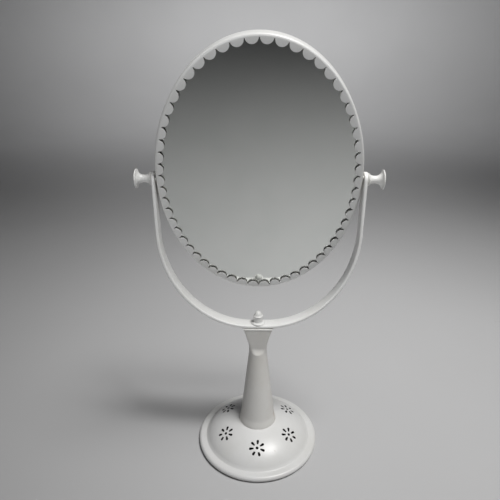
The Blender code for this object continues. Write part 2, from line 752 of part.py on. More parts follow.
def make_hoop(head):
    """The bent strip that holds the glass: band, rounded corner, tabs and rear tongues."""
    bm = bmesh.new()
    angles = tab_angles()
    loops = []
    for inset, y in hoop_section():
        loops.append(add_ring(bm, [oval_point(a, inset)[0] for a in angles], y))
    for (first, _), (second, _) in zip(loops, loops[1:]):
        join_rings(bm, first, second)
    scallops = scallop_outline(angles)
    front_verts, front_edges = add_ring(bm, scallops, FRONT_Y)
    back_verts, back_edges = add_ring(bm, scallops, FRONT_Y + TAB_THICKNESS)
    join_rings(bm, front_verts, back_verts)
    for edges in (loops[0][1] + front_edges, loops[-1][1] + back_edges):
        bmesh.ops.triangle_fill(bm, use_beauty=True, edges=edges, normal=(0, -1, 0))
    hoop = add_object("hoop", finish_bmesh(bm, "hoop"), white_paint("hoop_paint"), head)
    boolean(hoop, tongue_shapes(head), "UNION")
    boolean(hoop, pivot_hole_cutter("hoop_pivot_hole", HOOP_HALF_WIDTH * 2, head))
    return hoop


def tongue_shapes(head):
    """The small rear tongues that are bent in over the back cover."""
    bm = bmesh.new()
    angles = even_angles(0, 2 * TONGUE_COUNT)[1::2]
    start = HOOP_SHEET / 2
    for angle in angles:
        root, outward = oval_point(angle, start)
        along = Vector((outward.y, -outward.x))
        tip = root - outward * (TONGUE_LENGTH - start)
        wide = along * TONGUE_WIDTH / 2
        narrow = along * TONGUE_TIP_WIDTH / 2
        outline = [root - wide, root + wide, tip + narrow, tip - narrow]
        low = [bm.verts.new((x, TONGUE_FRONT_Y, z)) for x, z in outline]
        high = [bm.verts.new((x, TONGUE_BACK_Y, z)) for x, z in outline]
        bm.faces.new(low)
        bm.faces.new(high)
        join_rings(bm, low, high)
    return add_cutter("hoop_tongues", finish_bmesh(bm, "hoop_tongues"), head)


def oval_plate(name, inset, front, thickness, material, head):
    """A flat oval sheet inside the hoop, as a filled flat curve."""
    curve = bpy.data.curves.new(name, "CURVE")
    curve.dimensions = "2D"
    curve.fill_mode = "BOTH"
    curve.extrude = thickness / 2
    curve.resolution_u = 1
    spline = curve.splines.new("POLY")
    points = [oval_point(angle, inset)[0] for angle in even_angles(inset, PLATE_STEPS)]
    spline.points.add(len(points) - 1)
    for point, (x, z) in zip(spline.points, points):
        point.co = (x, z, 0, 1)
    spline.use_cyclic_u = True
    plate = add_object(name, curve, material, head)
    plate.rotation_euler.x = math.pi / 2
    plate.location.y = front + thickness / 2
    return plate


def make_head_filling(head):
    """What the hoop holds: the silvered glass, the pad behind it and the back cover."""
    glass = make_material("silvered_glass", (0.90, 0.91, 0.91), 0.02, 1.0)
    card = make_material("card", (0.45, 0.36, 0.25), 0.9, 0.0)
    cover = white_paint("cover_paint")
    oval_plate("mirror_glass", GLASS_INSET, GLASS_FRONT_Y, GLASS_THICKNESS, glass, head)
    oval_plate("backing_pad", GLASS_INSET, PAD_FRONT_Y, PAD_THICKNESS, card, head)
    oval_plate("back_cover", HOOP_SHEET + GAP, COVER_FRONT_Y, COVER_THICKNESS, cover, head)


# ---------------------------------------------------------------- pivots


def knob_outline():
    """The spool-shaped knob and its screw, with heights measured out from the collar's face."""
    screw_end = PIVOT_NUT_X - KNOB_X
    rim_back = KNOB_LENGTH - KNOB_RIM_THICKNESS
    waist = KNOB_COLLAR_THICKNESS + (rim_back - KNOB_COLLAR_THICKNESS) * KNOB_WAIST_PLACE
    inner_curve = arc((KNOB_COLLAR_RADIUS, waist), KNOB_COLLAR_RADIUS - KNOB_WAIST_RADIUS,
                      waist - KNOB_COLLAR_THICKNESS, 180, 270, 4)
    outer_curve = arc((KNOB_RADIUS, waist), KNOB_RADIUS - KNOB_WAIST_RADIUS,
                      rim_back - waist, 90, 180, 6)
    face = KNOB_RIM_THICKNESS / 3
    outline = [
        (0, KNOB_LENGTH),
        (KNOB_RADIUS / 2, KNOB_LENGTH - KNOB_CROWN),
        (KNOB_RADIUS - face, KNOB_LENGTH - face),
        (KNOB_RADIUS, KNOB_LENGTH - 2 * face),
    ]
    outline += outer_curve + inner_curve[1:]
    outline += [
        (KNOB_COLLAR_RADIUS, 0),
        (SCREW_RADIUS, 0),
        (SCREW_RADIUS, screw_end),
        (0, screw_end),
    ]
    return outline


def make_pivot(side, sign, head):
    """One pivot: nut, spacer, friction washer and knob, on the tilt axis."""
    bright = steel("pivot_steel")
    frame = add_empty(f"{side}_pivot_frame", (0, 0, PIVOT_Z), (0, sign * math.pi / 2, 0))
    on_head = add_empty(f"{side}_head_frame", (0, 0, 0), (0, sign * math.pi / 2, 0), head)
    nut = washer(f"{side}_pivot_nut", SCREW_HOLE_RADIUS, PIVOT_NUT_RADIUS, PIVOT_NUT_THICKNESS,
                 bright, on_head)
    nut.location.z = PIVOT_NUT_X
    spacer = washer(f"{side}_spacer_washer", SCREW_HOLE_RADIUS, SPACER_RADIUS, SPACER_THICKNESS,
                    bright, on_head)
    spacer.location.z = HOOP_HALF_WIDTH + GAP
    friction = washer(f"{side}_friction_washer", SCREW_HOLE_RADIUS, FRICTION_WASHER_RADIUS,
                      FRICTION_WASHER_THICKNESS, white_paint(f"{side}_washer_paint"), frame)
    friction.location.z = FRICTION_WASHER_X
    knob = turned(f"{side}_knob", knob_outline(), white_paint(f"{side}_knob_paint"),
                  parent=frame, closed=False)
    knob.location.z = KNOB_X


clear_scene()
PARTS = add_collection("dressing_mirror")
CUTTERS = add_collection("cutters")
make_base_dome()
make_ballast()
make_felt()
make_tie_rod()
make_stem()
make_saddle()
make_yoke()
make_finial()
HEAD = add_empty("head_frame", (0, 0, PIVOT_Z), (HEAD_TILT, 0, 0))
make_hoop(HEAD)
make_head_filling(HEAD)
make_pivot("right", 1, HEAD)
make_pivot("left", -1, HEAD)
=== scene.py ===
"""Looks of the table-top dressing mirror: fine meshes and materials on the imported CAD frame.

Metres, +Z up, the mirror faces -Y. Positions come from the frame's boxes and joints; the sizes
named here are those of shapes that a box does not tell.
"""
import json
import math
import random

import bmesh
import bpy
from mathutils import Matrix, Vector


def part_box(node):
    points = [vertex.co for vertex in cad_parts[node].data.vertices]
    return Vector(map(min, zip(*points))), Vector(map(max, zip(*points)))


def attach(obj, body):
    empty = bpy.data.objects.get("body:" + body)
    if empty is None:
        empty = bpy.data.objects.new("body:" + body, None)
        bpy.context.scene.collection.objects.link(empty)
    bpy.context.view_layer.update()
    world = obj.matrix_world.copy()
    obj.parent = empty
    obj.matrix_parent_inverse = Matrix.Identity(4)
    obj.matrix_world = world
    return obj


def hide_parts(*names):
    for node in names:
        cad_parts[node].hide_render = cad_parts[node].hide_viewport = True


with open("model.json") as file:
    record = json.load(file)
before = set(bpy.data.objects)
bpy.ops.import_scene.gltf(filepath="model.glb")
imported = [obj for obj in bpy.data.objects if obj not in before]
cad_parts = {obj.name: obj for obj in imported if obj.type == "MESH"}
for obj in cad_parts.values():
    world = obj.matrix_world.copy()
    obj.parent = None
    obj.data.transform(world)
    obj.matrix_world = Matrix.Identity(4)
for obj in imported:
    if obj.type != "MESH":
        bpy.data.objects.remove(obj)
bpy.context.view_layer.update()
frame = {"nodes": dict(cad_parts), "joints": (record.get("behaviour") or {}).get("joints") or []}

MM = 0.001

# Shape sizes that the boxes do not tell
PAINT_ROUND = 0.25 * MM           # paint rounds every sheet edge by about this
BASE_SHEET = 1.2 * MM
DOME_STEPS = 40                   # points along the dome's section
DOME_RADIUS = 56.0 * MM
DOME_OVERRUN = 2.0 * MM
DOME_CROWN = 29.2 * MM
FLANGE_HEIGHT = 6.5 * MM
FLANGE_FILLET = 1.6 * MM
FLOWER_COUNT = 6
FLOWER_RADIUS = 39.2 * MM
FLOWER_TWIST = math.radians(-6)
FLOWER_EYE_RADIUS = 1.4 * MM
PETAL_COUNT = 7
PETAL_INNER = (4.4 * MM, 0.7 * MM)      # distance from the flower's centre, radius
PETAL_OUTER = (7.1 * MM, 1.3 * MM)
PUNCH_BREAK = 0.9 * MM            # the holes widen by this much below the sheet's skin
PUNCH_ROUND = 0.15 * MM           # rounding of the holes' mouths
WALL_LEAN = 0.8                   # faces whose normals agree less than this with the dome's are walls
HOLE_RADIUS = 2.7 * MM            # tie rod's clearance hole
SCREW_HOLE_RADIUS = 1.7 * MM

STEM_FLARE = 1.0 * MM
STEM_FLARE_HEIGHT = 9.0 * MM
STEM_NECK_RADIUS = 9.2 * MM
STEM_HEAD_HEIGHT = 29.9 * MM
STEM_HEAD_HALF_WIDTH = 14.8 * MM
STEM_HEAD_HALF_DEPTH = 7.8 * MM
STEM_FACET_DEPTH = 6.2 * MM       # half-depth between the flats where they begin
STEM_LEDGE_RADIUS = 7.5 * MM      # hollow curve at the bottom of each flat
STEM_FLAT_BLEND = 2.2 * MM        # width of the rounding between a flat and the round stem
LEDGE_ZONE = 8.0 * MM             # finely cut height above the neck

YOKE_THICKNESS = 3.2 * MM
YOKE_WIDTH = 13.5 * MM
YOKE_ARM = 50.4 * MM
YOKE_SEAT_HALF_LENGTH = 7.5 * MM
YOKE_EDGE_ROUND = 1.2 * MM
FINIAL_RIDGE_HEIGHT = 5.9 * MM
FINIAL_RIDGE_ROUND = 0.55 * MM
FINIAL_DOME_RADIUS = 3.8 * MM
KNOB_COLLAR_RADIUS = 5.6 * MM
KNOB_COLLAR_HEIGHT = 0.7 * MM
KNOB_WAIST_RADIUS = 3.4 * MM
KNOB_RIM = 1.4 * MM

HEAD_TILT = math.radians(13.6)
HOOP_HALF_HEIGHT = 122.2 * MM
HOOP_DEPTH = 11.5 * MM
HOOP_SHEET = 1.0 * MM
HOOP_CORNER = 2.2 * MM
TAB_COUNT = 58
TAB_THICKNESS = 1.2 * MM
TAB_CENTRE_INSET = 2.25 * MM
TAB_RADIUS = 5.35 * MM
TAB_WOBBLE = 0.1 * MM             # hand-pressed tabs are not quite alike
NOTCH_INSET = 2.75 * MM
NOTCH_DEPTH = 0.25 * MM
GLASS_INSET = 2.6 * MM
GLASS_THICKNESS = 1.8 * MM
GLASS_GAP = 0.1 * MM              # between the tabs and the glass
FILM_THICKNESS = 0.08 * MM
COVER_THICKNESS = 0.6 * MM
TONGUE_COUNT = 8
TONGUE_WIDTH = 7.0 * MM
TONGUE_TIP_WIDTH = 5.6 * MM
TONGUE_LENGTH = 5.0 * MM
TONGUE_THICKNESS = 0.7 * MM
PIECE_GAP = 0.3 * MM

FULL_STEPS = 128                  # facets round the base; the stem has twice as many
SMALL_STEPS = 64                  # facets round knobs, finial and washers
TAB_POINTS = 18                   # points along each tab's outline

JOINTS = {joint["name"]: joint for joint in frame["joints"]}
PIVOT = Vector(JOINTS["head_tilt"]["pos_m"])
HOOP_HALF_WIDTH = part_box("hoop")[1].x
FRONT_Y = -HOOP_DEPTH / 2
HEAD_PLACE = Matrix.Translation(PIVOT) @ Matrix.Rotation(HEAD_TILT, 4, "X")


# ---------------------------------------------------------------- shape helpers


def arc(centre, radius_x, radius_y, start, end, steps):
    """Points on an oval arc, with angles in degrees from +X."""
    points = []
    for i in range(steps + 1):
        angle = math.radians(start + (end - start) * i / steps)
        points.append((centre[0] + radius_x * math.cos(angle), centre[1] + radius_y * math.sin(angle)))
    return points


def fillet(outline, radius, steps=4, closed=True):
    """Round the corners of an outline, each by no more than a third of its shorter side."""
    points = [Vector(point) for point in outline]
    count = len(points)
    rounded = []
    for i, corner in enumerate(points):
        if not closed and i in (0, count - 1):
            rounded.append(tuple(corner))
            continue
        back = points[i - 1] - corner
        ahead = points[(i + 1) % count] - corner
        turn = math.pi - back.angle(ahead)
        if turn < math.radians(12):
            rounded.append(tuple(corner))
            continue
        reach = min(radius * math.tan(turn / 2), back.length / 3, ahead.length / 3)
        start = corner + back.normalized() * reach
        end = corner + ahead.normalized() * reach
        for j in range(steps + 1):
            t = j / steps
            rounded.append(tuple(start * (1 - t) ** 2 + corner * 2 * t * (1 - t) + end * t * t))
    return rounded


def finish(bm, name, sharp=35):
    """Turn a bmesh into a smooth-shaded mesh that keeps its real edges."""
    bmesh.ops.recalc_face_normals(bm, faces=bm.faces[:])
    mesh = bpy.data.meshes.new(name)
    bm.to_mesh(mesh)
    bm.free()
    mesh.shade_smooth()
    mesh.set_sharp_from_angle(angle=math.radians(sharp))
    return mesh


def lathe(name, outline, steps=SMALL_STEPS, closed=True, place=None, sharp=35):
    """Turn an outline of (radius, height) points once round the Z axis."""
    bm = bmesh.new()
    verts = [bm.verts.new((radius, 0, height)) for radius, height in outline]
    edges = [bm.edges.new(pair) for pair in zip(verts, verts[1:])]
    if closed:
        edges.append(bm.edges.new((verts[-1], verts[0])))
    bmesh.ops.spin(bm, geom=verts + edges, cent=(0, 0, 0), axis=(0, 0, 1), angle=2 * math.pi,
                   steps=steps, use_merge=True)
    bmesh.ops.remove_doubles(bm, verts=bm.verts[:], dist=MM / 1000)
    if place is not None:
        bm.transform(place)
    return finish(bm, name, sharp)


def loft(bm, loops, closed=False, capped=False):
    """Join loops of the same count, end to end."""
    rows = [[bm.verts.new(point) for point in loop] for loop in loops]
    pairs = list(zip(rows, rows[1:]))
    if closed:
        pairs.append((rows[-1], rows[0]))
    for first, second in pairs:
        for i in range(len(first)):
            j = (i + 1) % len(first)
            bm.faces.new((first[i], first[j], second[j], second[i]))
    if capped:
        bm.faces.new(rows[0])
        bm.faces.new(rows[-1])


def link(name, mesh):
    """Put a mesh in the scene."""
    piece = bpy.data.objects.new(name, mesh)
    bpy.context.scene.collection.objects.link(piece)
    return piece


def apply_modifiers(piece):
    """Bake a piece's modifiers into its mesh."""
    bpy.context.view_layer.update()
    evaluated = piece.evaluated_get(bpy.context.evaluated_depsgraph_get())
    mesh = bpy.data.meshes.new_from_object(evaluated)
    piece.modifiers.clear()
    piece.data = mesh


def combine(piece, other, operation):
    """Cut a piece by another object, or join the two, and remove the other."""
    modifier = piece.modifiers.new("cut", "BOOLEAN")
    modifier.operation = operation
    modifier.solver = "EXACT"
    modifier.object = other
    apply_modifiers(piece)
    bpy.data.objects.remove(other)


def smooth_again(piece):
    """Shade a cut piece smoothly, keeping its real edges."""
    piece.data.shade_smooth()
    piece.data.set_sharp_from_angle(angle=math.radians(40))


def pivot_drill(name, pivot):
    """A long pin along X through a pivot, to cut the screw holes of both sides."""
    pin = [(0, 1.0), (SCREW_HOLE_RADIUS, 1.0), (SCREW_HOLE_RADIUS, -1.0), (0, -1.0)]
    place = Matrix.Translation(pivot) @ Matrix.Rotation(math.pi / 2, 4, "Y")
    return link(name, lathe(name, pin, closed=False, place=place))


def settle(piece, body, slot, material, *nodes):
    """Give a finished piece its material, its body and the CAD nodes that it stands for."""
    piece.data.materials.clear()
    piece.data.materials.append(material)
    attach(piece, body)
    if nodes:
        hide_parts(*nodes)


# ---------------------------------------------------------------- base


def dome_rise():
    """Vertical half-axis of the dome's oval, which passes through the flange's corner."""
    corner = math.sqrt(1 - (DOME_RADIUS / (DOME_RADIUS + DOME_OVERRUN)) ** 2)
    return (DOME_CROWN - FLANGE_HEIGHT) / (1 - corner)


def dome_height(radius):
    """Height of the dome's outside at a distance from the axis."""
    axis = DOME_RADIUS + DOME_OVERRUN
    return DOME_CROWN - dome_rise() * (1 - math.sqrt(1 - (radius / axis) ** 2))


def dome_lean(radius):
    """Angle between the dome's surface and the table."""
    axis = DOME_RADIUS + DOME_OVERRUN
    slope = dome_rise() * radius / axis ** 2 / math.sqrt(1 - (radius / axis) ** 2)
    return math.atan(slope)


def dome_outline(seat_radius, inset):
    """The dome from its seat to the flange's corner, moved in by an inset."""
    points = [(HOLE_RADIUS, dome_height(seat_radius) - inset)]
    for i in range(DOME_STEPS + 1):
        radius = seat_radius + (DOME_RADIUS - seat_radius) * i / DOME_STEPS
        lean = dome_lean(radius) if i else 0
        points.append((radius - inset * math.sin(lean), dome_height(radius) - inset * math.cos(lean)))
    return points


def base_outline():
    """The whole section of the pressed base: dome, flange and rolled rim."""
    low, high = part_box("base_dome")
    seat_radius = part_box("stem")[1].y + PIECE_GAP
    rim = (FLANGE_HEIGHT - low.z) / 2
    centre = (high.x - rim, low.z + rim)
    outside = dome_outline(seat_radius, 0)
    inside = dome_outline(seat_radius, BASE_SHEET)
    hollow_centre = (DOME_RADIUS + FLANGE_FILLET, FLANGE_HEIGHT + FLANGE_FILLET)
    hollow = arc(hollow_centre, FLANGE_FILLET, FLANGE_FILLET, 220, 270, 5)
    outside = [point for point in outside if point[1] > hollow[0][1] + MM / 4] + hollow
    outside += arc(centre, rim, rim, 90, -90, 20)
    inside = inside[:-1] + [(DOME_RADIUS, FLANGE_HEIGHT - BASE_SHEET)]
    inside += arc(centre, rim - BASE_SHEET, rim - BASE_SHEET, 90, -90, 8)
    return outside + list(reversed(inside))


def petal_loop(grow, height):
    """A teardrop that is round and wide at its outer end, grown all round."""
    near = arc((PETAL_INNER[0], 0), PETAL_INNER[1] + grow, PETAL_INNER[1] + grow, 110, 250, 5)
    far = arc((PETAL_OUTER[0], 0), PETAL_OUTER[1] + grow, PETAL_OUTER[1] + grow, -100, 100, 10)
    return [(x, y, height) for x, y in near + far]


def eye_loop(grow, height):
    """The round hole in a flower's middle, grown all round."""
    radius = FLOWER_EYE_RADIUS + grow
    return [(x, y, height) for x, y in arc((0, 0), radius, radius, 0, 345, 15)]


def hole_loops(loop):
    """Loops of a punch whose mouth flares like a painted edge, from below the sheet to above."""
    r = PUNCH_ROUND
    loops = [loop(PUNCH_BREAK, -3 * BASE_SHEET), loop(PUNCH_BREAK, -BASE_SHEET)]
    for i in range(4):
        angle = math.radians(90 * i / 3)
        loops.append(loop(r * (1 - math.cos(angle)), -r * (1 - math.sin(angle))))
    loops.append(loop(2 * r, r))
    return loops


def surface_place(x, y):
    """The frame that stands on the dome at a point, its X axis pointing down the slope."""
    radius = math.hypot(x, y)
    place = Matrix.Translation((x, y, dome_height(radius)))
    return place @ Matrix.Rotation(math.atan2(y, x), 4, "Z") @ Matrix.Rotation(dome_lean(radius), 4, "Y")


def flower_punches():
    """All the holes of all the flowers, as one cutting mesh."""
    bm = bmesh.new()
    eyes = hole_loops(eye_loop)
    petals = hole_loops(petal_loop)
    middle = (PETAL_INNER[0] + PETAL_OUTER[0]) / 2
    for i in range(FLOWER_COUNT):
        azimuth = 2 * math.pi * i / FLOWER_COUNT - math.pi / 2
        centre = surface_place(FLOWER_RADIUS * math.cos(azimuth), FLOWER_RADIUS * math.sin(azimuth))
        loft(bm, [[centre @ Vector(point) for point in loop] for loop in eyes], capped=True)
        for j in range(PETAL_COUNT):
            turn = Matrix.Rotation(math.pi + FLOWER_TWIST + 2 * math.pi * j / PETAL_COUNT, 4, "Z")
            spot = centre @ turn @ Vector((middle, 0, 0))
            sink = spot.z - dome_height(math.hypot(spot.x, spot.y))
            drop = Matrix.Translation(centre.to_3x3() @ Vector((0, 0, -sink)))
            loft(bm, [[drop @ centre @ turn @ Vector(point) for point in loop] for loop in petals],
                 capped=True)
    return link("flower_punches", finish(bm, "flower_punches"))


def darken_hole_walls(dome, material):
    """Give the walls of the flowers' holes a dark material of their own: painted shade, so the holes read
    black.
    """
    dome.data.materials.append(material)
    reach = PETAL_OUTER[0] + PETAL_OUTER[1] + 1 * MM
    for face in dome.data.polygons:
        x, y = face.center.xy
        if abs(math.hypot(x, y) - FLOWER_RADIUS) < reach:
            surface_normal = surface_place(x, y).to_3x3().col[2]
            if abs(surface_normal.dot(face.normal)) < WALL_LEAN:
                face.material_index = 1


def make_base(paint, hole_shade_paint):
    """The pierced dome, its holes' walls darkened with painted shade."""
    dome = link("base_shell", lathe("base_shell", base_outline(), FULL_STEPS))
    combine(dome, flower_punches(), "DIFFERENCE")
    smooth_again(dome)
    settle(dome, "stand", "white_paint", paint, "base_dome")
    darken_hole_walls(dome, hole_shade_paint)


def make_felt(material):
    """The felt disc under the base, with soft edges."""
    low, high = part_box("base_felt")
    corners = [(0, high.z), (high.x, high.z), (high.x, low.z), (0, low.z)]
    mesh = lathe("felt_disc", fillet(corners, 0.6 * MM, closed=False), FULL_STEPS, closed=False)
    settle(link("felt_disc", mesh), "stand", "felt", material, "base_felt")


# ---------------------------------------------------------------- stem


def ease(low, high, value):
    """Ease from 0 at low to 1 at high."""
    t = min(max((value - low) / (high - low), 0.0), 1.0)
    return t * t * (3 - 2 * t)


def soft_min(a, b, width):
    """The smaller of two values, rounded where they cross."""
    share = max(width - abs(a - b), 0) / width
    return min(a, b) - share * share * width / 4


def facet_depth(above_neck):
    """Half-depth between the stem's two flats; a hollow curve leads into each from below."""
    slope = (STEM_HEAD_HALF_DEPTH - STEM_FACET_DEPTH) / STEM_HEAD_HEIGHT
    depth = STEM_FACET_DEPTH + slope * above_neck
    sunk = STEM_LEDGE_RADIUS - above_neck
    if sunk <= 0:
        return depth
    if sunk >= STEM_LEDGE_RADIUS:
        return depth + 2 * STEM_LEDGE_RADIUS
    return depth + STEM_LEDGE_RADIUS - math.sqrt(STEM_LEDGE_RADIUS ** 2 - sunk ** 2)


def stem_loop(height, stem_height, foot_radius, steps):
    """One level section of the stem, from its foot up."""
    neck = stem_height - STEM_HEAD_HEIGHT
    radius = foot_radius - STEM_FLARE
    radius += (STEM_NECK_RADIUS - radius) * min(height / neck, 1)
    radius += STEM_FLARE * (1 - ease(0, STEM_FLARE_HEIGHT, height))
    above = max(height - neck, 0)
    rise = above / STEM_HEAD_HEIGHT
    flare = max(rise - 0.3, 0) / 0.7
    half_width = radius + (STEM_HEAD_HALF_WIDTH - radius) * flare ** 1.35
    power = 2 / (2 + 4 * ease(0.05, 0.75, rise))
    limit = facet_depth(above) if above else 1.0
    edge = PAINT_ROUND * 2
    top = max(height - (stem_height - edge), 0)
    trim = edge - math.sqrt(max(edge ** 2 - top ** 2, 0))
    loop = []
    for i in range(steps):
        angle = 2 * math.pi * i / steps
        c, s = math.cos(angle), math.sin(angle)
        x = half_width * math.copysign(abs(c) ** power, c)
        y = radius * abs(s) ** power
        y = soft_min(y, limit, STEM_FLAT_BLEND)
        x -= math.copysign(min(trim, abs(x)), x)
        loop.append((x, math.copysign(max(y - trim, 0), s), height))
    return loop


def make_stem(material):
    """The cast stem with its flats."""
    low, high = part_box("stem")
    reach = PIECE_GAP * 0.8
    stem_height = high.z - low.z
    neck = stem_height - STEM_HEAD_HEIGHT
    heights = [STEM_FLARE_HEIGHT * i / 12 for i in range(13)]
    heights += [STEM_FLARE_HEIGHT + (neck - STEM_FLARE_HEIGHT) * i / 16 for i in range(1, 17)]
    heights += [neck + LEDGE_ZONE * i / 40 for i in range(1, 41)]
    heights += [neck + LEDGE_ZONE + (STEM_HEAD_HEIGHT - LEDGE_ZONE - MM) * i / 24 for i in range(1, 25)]
    heights += [stem_height - 2 * PAINT_ROUND * (1 - math.sin(math.radians(15 * i))) for i in range(7)]
    loops = [stem_loop(height, stem_height, high.y, FULL_STEPS * 2) for height in heights]
    loops[0] = [(x, y, z - reach) for x, y, z in loops[0]]
    bm = bmesh.new()
    loft(bm, loops, capped=True)
    bm.transform(Matrix.Translation((0, 0, low.z)))
    stem = link("stem_casting", finish(bm, "stem_casting", 50))
    settle(stem, "stand", "white_paint", material, "stem")


def make_saddle(material):
    """The thin plate under the yoke."""
    low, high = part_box("saddle_plate")
    corner = high.y / 3
    outline = []
    for sx, sy, start in ((1, 1, 0), (-1, 1, 90), (-1, -1, 180), (1, -1, 270)):
        centre = (sx * (high.x - corner), sy * (high.y - corner))
        outline += arc(centre, corner, corner, start, start + 90, 8)
    loops = []
    for grow, height in ((-PAINT_ROUND, low.z), (0, low.z + PAINT_ROUND), (0, high.z - PAINT_ROUND),
                         (-PAINT_ROUND, high.z)):
        loops.append([(x + math.copysign(grow, x), y + math.copysign(grow, y), height) for x, y in outline])
    bm = bmesh.new()
    loft(bm, loops, capped=True)
    saddle = link("saddle", finish(bm, "saddle", 50))
    settle(saddle, "stand", "white_paint", material, "saddle_plate")


# ---------------------------------------------------------------- yoke and finial


def yoke_line():
    """(x, z, half width) along the yoke's inner face, below the pivot, right tip to left tip."""
    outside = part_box("yoke")[1].x
    drop = PIVOT.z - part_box("yoke")[0].z - YOKE_THICKNESS
    inside = outside - YOKE_THICKNESS
    half = YOKE_WIDTH / 2
    tip = [(inside, half * math.sin(math.radians(a)), half * math.cos(math.radians(a)))
           for a in range(85, -1, -5)]
    straight = [(inside, -YOKE_ARM * i / 8, half) for i in range(1, 8)]
    bend = [(x, z, half) for x, z in
            arc((YOKE_SEAT_HALF_LENGTH, -YOKE_ARM), inside - YOKE_SEAT_HALF_LENGTH, drop - YOKE_ARM,
                0, -90, 72)]
    right = tip + straight + bend
    return right + [(-x, z, width) for x, z, width in reversed(right)]


def yoke_section(half_width):
    """A flat bar's section with rounded edges: (across, out from the inner face)."""
    r = min(YOKE_EDGE_ROUND, half_width * 0.9)
    t = YOKE_THICKNESS
    points = arc((half_width - r, r), r, r, -90, 0, 4)
    points += arc((half_width - r, t - r), r, r, 0, 90, 4)
    points += arc((-half_width + r, t - r), r, r, 90, 180, 4)
    points += arc((-half_width + r, r), r, r, 180, 270, 4)
    return points


def make_yoke(material):
    """The bent bar, swept along its inner face."""
    line = yoke_line()
    loops = []
    for i, (x, z, half) in enumerate(line):
        before = line[max(i - 1, 0)]
        after = line[min(i + 1, len(line) - 1)]
        along = Vector((after[0] - before[0], after[1] - before[1])).normalized()
        out = Vector((-along.y, along.x))
        if out.dot(Vector((x, z))) < 0:
            out = -out
        loops.append([(x + out.x * depth, across, z + out.y * depth)
                      for across, depth in yoke_section(half)])
    bm = bmesh.new()
    loft(bm, loops, capped=True)
    bm.transform(Matrix.Translation((0, 0, PIVOT.z)))
    yoke = link("yoke_bar", finish(bm, "yoke_bar", 40))
    combine(yoke, pivot_drill("yoke_drill", PIVOT), "DIFFERENCE")
    settle(yoke, "stand", "white_paint", material, "yoke")


def make_finial(material):
    """The flared washer and the domed nut."""
    low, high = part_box("finial_washer")
    skirt = high.z - low.z
    outline = [
        (HOLE_RADIUS, 0),
        (high.x, 0),
        (high.x, skirt * 0.35),
        (high.x - 1.35 * MM, skirt * 0.78),
        (high.x - 2.2 * MM, skirt),
        (HOLE_RADIUS, skirt),
    ]
    place = Matrix.Translation((0, 0, low.z))
    washer = link("finial_skirt", lathe("finial_skirt", fillet(outline, 0.35 * MM), place=place, sharp=60))
    settle(washer, "stand", "white_paint", material, "finial_washer")
    low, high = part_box("finial_nut")
    ridge = FINIAL_RIDGE_HEIGHT
    start = ridge + 0.4 * MM
    outline = arc((0, start), FINIAL_DOME_RADIUS, high.z - low.z - start, 90, 12, 14)
    outline += arc((high.x - FINIAL_RIDGE_ROUND, ridge), FINIAL_RIDGE_ROUND, 0.5 * MM, 65, -60, 8)
    outline += [
        (4.55 * MM, ridge - 0.9 * MM),
        (4.45 * MM, ridge * 0.5),
        (4.7 * MM, 0.9 * MM),
        (4.75 * MM, -PIECE_GAP * 0.8),
        (HOLE_RADIUS, -PIECE_GAP * 0.8),
        (HOLE_RADIUS, ridge),
        (0, ridge),
    ]
    place = Matrix.Translation((0, 0, low.z))
    nut = link("finial_cap", lathe("finial_cap", outline, closed=False, place=place, sharp=70))
    settle(nut, "stand", "white_paint", material, "finial_nut")


# ---------------------------------------------------------------- mirror head


def oval_point(angle, inset):
    """A point inside the hoop's outer oval by an inset, and the outward direction there."""
    outward = Vector((math.sin(angle) / HOOP_HALF_WIDTH, math.cos(angle) / HOOP_HALF_HEIGHT))
    outward.normalize()
    edge = Vector((HOOP_HALF_WIDTH * math.sin(angle), HOOP_HALF_HEIGHT * math.cos(angle)))
    return edge - outward * inset, outward


def even_angles(inset, count):
    """Angles that cut the oval at an inset into equal lengths, starting at the top."""
    fine = 4096
    lengths = [0.0]
    last = oval_point(0, inset)[0]
    for i in range(1, fine + 1):
        here = oval_point(2 * math.pi * i / fine, inset)[0]
        lengths.append(lengths[-1] + (here - last).length)
        last = here
    angles = []
    at = 0
    for i in range(count):
        target = lengths[-1] * i / count
        while lengths[at + 1] < target:
            at += 1
        share = (target - lengths[at]) / (lengths[at + 1] - lengths[at])
        angles.append(2 * math.pi * (at + share) / fine)
    return angles


def band_loop(angles, inset, depth):
    """One loop of the hoop's band."""
    loop = []
    for angle in angles:
        point, _ = oval_point(angle, inset)
        loop.append((point.x, depth, point.y))
    return loop


def tab_loop(tabs, inset, depth):
    """One loop along the tabs' outline, moved into the metal by an inset."""
    start = math.asin((NOTCH_INSET + NOTCH_DEPTH - TAB_CENTRE_INSET) / TAB_RADIUS)
    loop = []
    for notch_angle, centre_angle, wobble in tabs:
        notch, _ = oval_point(notch_angle, NOTCH_INSET - min(inset, PAINT_ROUND / 2))
        loop.append((notch.x, depth, notch.y))
        centre, outward = oval_point(centre_angle, TAB_CENTRE_INSET)
        along = Vector((outward.y, -outward.x))
        for i in range(TAB_POINTS - 1):
            angle = start + (math.pi - 2 * start) * i / (TAB_POINTS - 2)
            reach = -along * math.cos(angle) - outward * math.sin(angle) * (1 + wobble / TAB_RADIUS)
            point = centre + reach * (TAB_RADIUS - inset)
            loop.append((point.x, depth, point.y))
    return loop


